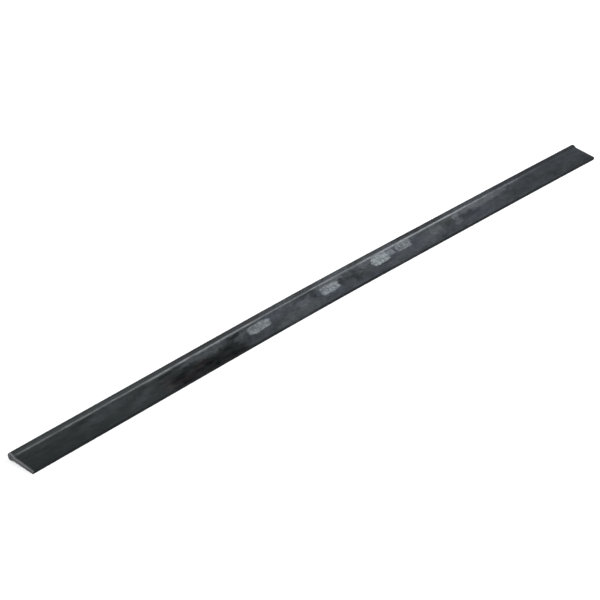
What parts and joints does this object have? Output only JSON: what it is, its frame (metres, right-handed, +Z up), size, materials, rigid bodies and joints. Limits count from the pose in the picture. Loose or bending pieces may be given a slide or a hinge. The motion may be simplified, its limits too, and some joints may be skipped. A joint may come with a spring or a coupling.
{
  "type": "snow plow rubber edge strip",
  "caption": "Long black rubber edge strip for an ATV snow plow: a round bead along one edge slides into the plow's channel, and the flat web thins to a square wear edge.",
  "frame": {"origin": "centre of the bounding box's bottom face, with the strip lying flat on a floor at z = 0, resting on the bead and on the wear edge's lower corner", "axes": "+X along the strip's length, +Y across it from the wear edge towards the bead, +Z up out of the floor"},
  "size_m": [1.5244, 0.0712, 0.015],
  "materials": {
    "rubber": "satin extruded skin with handling smudges, duller pale saw-cut ends"
  },
  "bodies": {
    "root": {"blade_strip": "rubber"}
  },
  "joints": []
}
